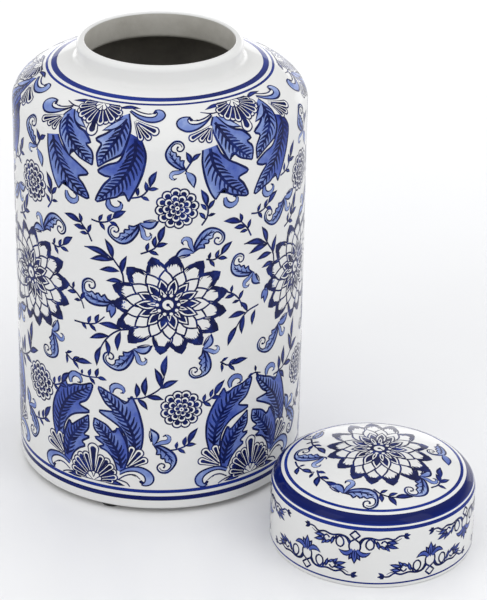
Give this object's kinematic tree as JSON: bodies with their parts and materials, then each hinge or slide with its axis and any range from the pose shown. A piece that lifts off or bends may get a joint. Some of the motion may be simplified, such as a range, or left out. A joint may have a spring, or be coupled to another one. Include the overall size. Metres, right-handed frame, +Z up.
{
  "type": "ginger jar",
  "caption": "Tall straight-sided glazed ceramic ginger jar with a short open neck, its domed slip-over lid standing on the surface beside it and round bumper pads under the foot.",
  "frame": {"origin": "centre of the footprint of jar and lid together, on the surface that they stand on", "axes": "+Z up along both pieces' axes; the lid stands towards +X and -Y of the jar"},
  "size_m": [0.281, 0.2656, 0.2796],
  "materials": {
    "jar_glaze": "clear gloss glaze over cobalt underglaze painting",
    "lid_glaze": "clear gloss glaze over cobalt underglaze painting",
    "pad_rubber": "matt black"
  },
  "bodies": {
    "jar": {"jar_body": "jar_glaze", "foot_pad_1": "pad_rubber", "foot_pad_2": "pad_rubber", "foot_pad_3": "pad_rubber", "foot_pad_4": "pad_rubber"},
    "lid": {"lid": "lid_glaze"}
  },
  "joints": [
    {"name": "lid_lift", "type": "slide", "parent": "jar", "child": "lid", "axis": [0, 0, 1], "range_m": [0, 0.3]}
  ]
}
